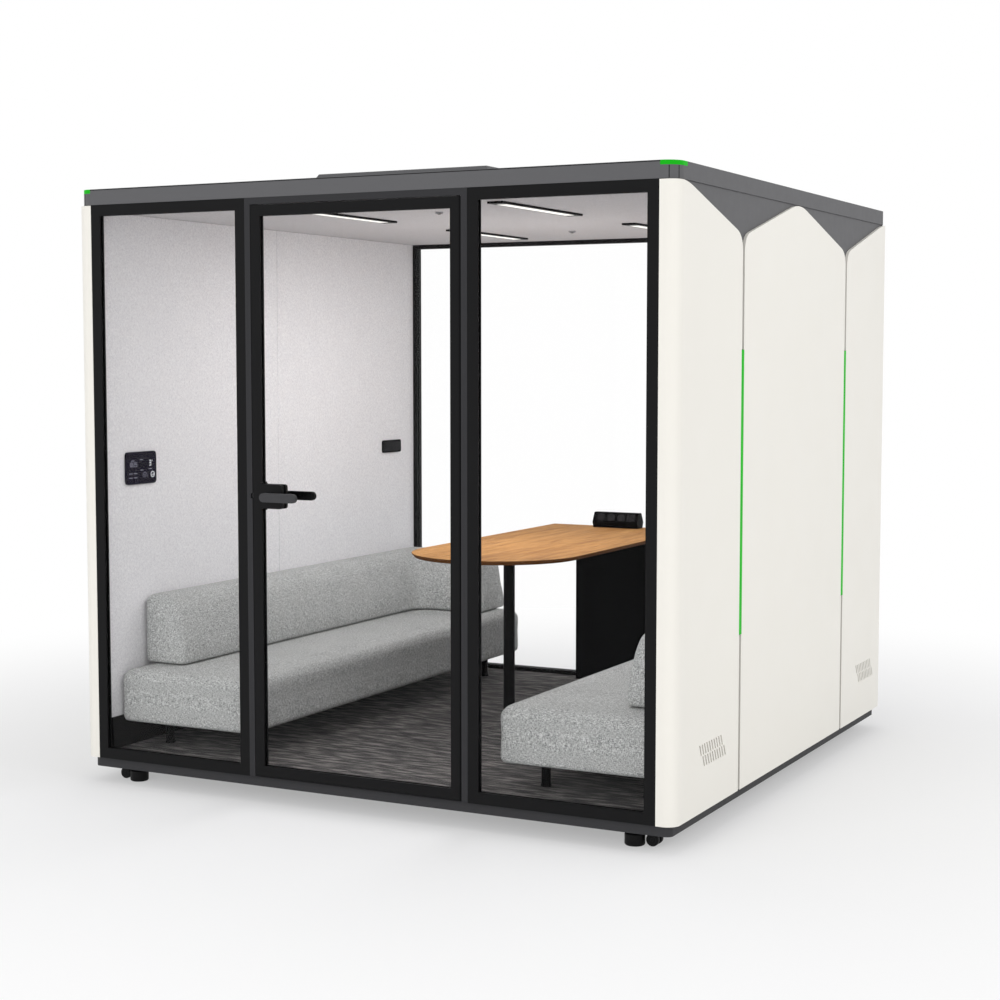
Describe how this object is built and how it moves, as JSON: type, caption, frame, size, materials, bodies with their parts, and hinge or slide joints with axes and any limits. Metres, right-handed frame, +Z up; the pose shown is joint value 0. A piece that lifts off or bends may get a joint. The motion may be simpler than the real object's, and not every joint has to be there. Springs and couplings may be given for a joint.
{
  "type": "acoustic office pod",
  "caption": "Free-standing square acoustic meeting cabin with glazed front and back, hinged glass door, upholstered benches with leaning backs, a round-nosed table and ceiling lights.",
  "frame": {"origin": "on the floor, under the middle of the overall outline with the outside door handle included", "axes": "+X to the right seen from the door side, +Y from the door side to the back window, +Z up"},
  "size_m": [2.5, 2.566, 2.366],
  "materials": {
    "graphite": "fine matt powder coat",
    "plinth": "matt powder coat",
    "white": "satin white lacquer",
    "frame_black": "satin black anodised",
    "portal_grey": "satin grey powder coat",
    "glazing": "clear laminated",
    "felt_light": "pressed acoustic felt",
    "felt_ceiling": "pressed acoustic felt",
    "carpet": "streaked loop pile carpet",
    "upholstery": "woven upholstery over foam",
    "wood": "oak veneer, satin lacquer",
    "black_metal": "matt black",
    "black_plastic": "fine textured",
    "screen": "glossy screen",
    "rubber": "matt",
    "lever_grey": "satin",
    "steel": "brushed",
    "green_light": "lit diffuser"
  },
  "bodies": {
    "cabin": {"base_plinth": "plinth", "ceiling_light_front_left": "black_metal", "ceiling_light_front_right": "black_metal", "ceiling_light_rear_left": "black_metal", "ceiling_light_rear_right": "black_metal", "floor_carpet": "carpet", "ceiling_panel": "felt_ceiling", "skirting_left": "black_plastic", "wall_liner_left": "felt_light", "wall_core_left": "graphite", "wall_panel_left_front": "white", "wall_panel_left_middle": "white", "wall_panel_left_rear": "white", "bench_base_left": "black_metal", "seat_cushion_left": "upholstery", "backrest_left": "upholstery", "corner_light_left": "green_light", "window_frame_left": "frame_black", "window_glass_left": "glazing", "skirting_right": "black_plastic", "wall_liner_right": "felt_light", "wall_core_right": "graphite", "wall_panel_right_front": "white", "wall_panel_right_middle": "white", "wall_panel_right_rear": "white", "bench_base_right": "black_metal", "seat_cushion_right": "upholstery", "backrest_right": "upholstery", "corner_light_right": "green_light", "window_frame_right": "frame_black", "window_glass_right": "glazing", "roof_cap": "graphite", "roof_unit": "graphite", "back_frame": "frame_black", "back_glass": "glazing", "door_portal": "portal_grey", "table_top": "wood", "table_post": "black_metal", "table_panel": "black_plastic", "power_box": "black_plastic", "control_panel": "screen", "wall_socket": "black_plastic"},
    "door": {"door_frame": "frame_black", "door_glass": "glazing", "lock_case": "black_metal"},
    "lever": {"door_lever": "lever_grey"},
    "latch": {"latch_bolt": "steel"},
    "foot_front_left": {"levelling_foot_front_left": "rubber"},
    "castor_front_left": {"castor_fork_front_left": "black_plastic"},
    "wheel_front_left": {"castor_wheel_front_left": "rubber"},
    "foot_front_right": {"levelling_foot_front_right": "rubber"},
    "castor_front_right": {"castor_fork_front_right": "black_plastic"},
    "wheel_front_right": {"castor_wheel_front_right": "rubber"},
    "foot_rear_left": {"levelling_foot_rear_left": "rubber"},
    "castor_rear_left": {"castor_fork_rear_left": "black_plastic"},
    "wheel_rear_left": {"castor_wheel_rear_left": "rubber"},
    "foot_rear_right": {"levelling_foot_rear_right": "rubber"},
    "castor_rear_right": {"castor_fork_rear_right": "black_plastic"},
    "wheel_rear_right": {"castor_wheel_rear_right": "rubber"},
    "fan": {"fan_rotor": "black_plastic"}
  },
  "joints": [
    {"name": "door_swing", "type": "hinge", "parent": "cabin", "child": "door", "pos_m": [0.4245, -1.204, 1.1], "axis": [0, 0, 1], "range_deg": [0, 90]},
    {"name": "lever_turn", "type": "hinge", "parent": "door", "child": "lever", "pos_m": [-0.3496, -1.204, 1.158], "axis": [0, 1, 0], "range_deg": [0, 45], "stiffness_Nm_per_rad": 1.5, "springref_deg": -28.65},
    {"name": "latch_slide", "type": "slide", "parent": "door", "child": "latch", "axis": [1, 0, 0], "range_m": [0, 0.01]},
    {"name": "foot_turn_front_left", "type": "hinge", "parent": "cabin", "child": "foot_front_left", "pos_m": [-1.0635, -1.117, 0.03], "axis": [0, 0, 1], "continuous": true},
    {"name": "castor_swivel_front_left", "type": "hinge", "parent": "cabin", "child": "castor_front_left", "pos_m": [-1.142, -1.097, 0.055], "axis": [0, 0, 1], "continuous": true},
    {"name": "wheel_spin_front_left", "type": "hinge", "parent": "castor_front_left", "child": "wheel_front_left", "pos_m": [-1.129, -1.097, 0.0245], "axis": [0, 1, 0], "continuous": true},
    {"name": "foot_turn_front_right", "type": "hinge", "parent": "cabin", "child": "foot_front_right", "pos_m": [1.0635, -1.117, 0.03], "axis": [0, 0, 1], "continuous": true},
    {"name": "castor_swivel_front_right", "type": "hinge", "parent": "cabin", "child": "castor_front_right", "pos_m": [1.142, -1.097, 0.055], "axis": [0, 0, 1], "continuous": true},
    {"name": "wheel_spin_front_right", "type": "hinge", "parent": "castor_front_right", "child": "wheel_front_right", "pos_m": [1.129, -1.097, 0.0245], "axis": [0, 1, 0], "continuous": true},
    {"name": "foot_turn_rear_left", "type": "hinge", "parent": "cabin", "child": "foot_rear_left", "pos_m": [-1.0635, 1.183, 0.03], "axis": [0, 0, 1], "continuous": true},
    {"name": "castor_swivel_rear_left", "type": "hinge", "parent": "cabin", "child": "castor_rear_left", "pos_m": [-1.142, 1.163, 0.055], "axis": [0, 0, 1], "continuous": true},
    {"name": "wheel_spin_rear_left", "type": "hinge", "parent": "castor_rear_left", "child": "wheel_rear_left", "pos_m": [-1.129, 1.163, 0.0245], "axis": [0, 1, 0], "continuous": true},
    {"name": "foot_turn_rear_right", "type": "hinge", "parent": "cabin", "child": "foot_rear_right", "pos_m": [1.0635, 1.183, 0.03], "axis": [0, 0, 1], "continuous": true},
    {"name": "castor_swivel_rear_right", "type": "hinge", "parent": "cabin", "child": "castor_rear_right", "pos_m": [1.142, 1.163, 0.055], "axis": [0, 0, 1], "continuous": true},
    {"name": "wheel_spin_rear_right", "type": "hinge", "parent": "castor_rear_right", "child": "wheel_rear_right", "pos_m": [1.129, 1.163, 0.0245], "axis": [0, 1, 0], "continuous": true},
    {"name": "fan_spin", "type": "hinge", "parent": "cabin", "child": "fan", "pos_m": [0, 0.033, 2.335], "axis": [0, 0, 1], "continuous": true}
  ],
  "couplings": [
    {"joint": "latch_slide", "follows": "lever_turn", "m_per_rad": 0.0127}
  ]
}
